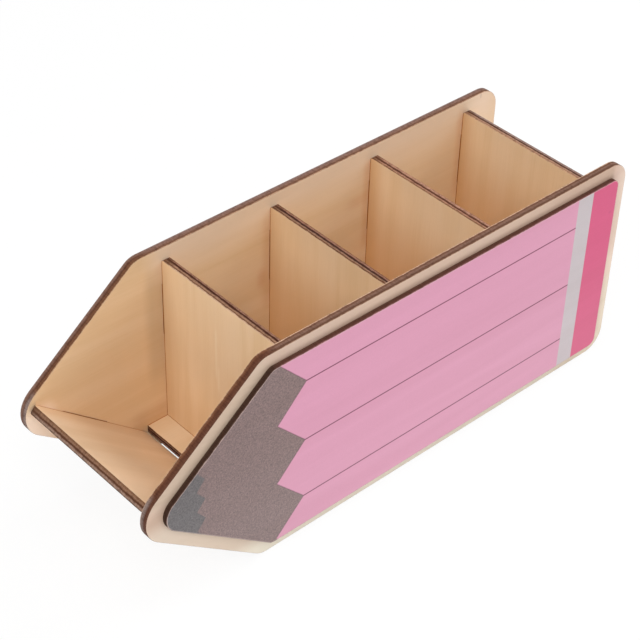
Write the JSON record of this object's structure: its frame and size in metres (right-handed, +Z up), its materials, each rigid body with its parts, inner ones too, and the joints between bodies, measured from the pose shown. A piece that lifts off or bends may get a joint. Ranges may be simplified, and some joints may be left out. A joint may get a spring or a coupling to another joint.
{
  "type": "pencil holder",
  "caption": "Pencil-shaped plywood desk organiser lying on its side, with open bins in a row, a sloped tray in the nose and a printed plaque outside one side panel.",
  "frame": {"origin": "on the table, under the middle of the bounding box of the whole object", "axes": "+X from the nose to the blunt end along the pencil, +Z up, and the printed plaque faces -Y"},
  "size_m": [0.2134, 0.068, 0.084],
  "materials": {
    "plywood": "bare pale birch or basswood plywood, sanded, with edges charred dark brown by the cutting laser",
    "printed_board": "printed in satin ink with a pink pencil figure, edges charred dark brown"
  },
  "bodies": {
    "root": {"front_side_panel": "plywood", "rear_side_panel": "plywood", "nose_divider": "plywood", "middle_divider": "plywood", "rear_divider": "plywood", "end_wall": "plywood", "floor_board": "plywood", "nose_tray_board": "plywood", "front_plaque": "printed_board"}
  },
  "joints": []
}
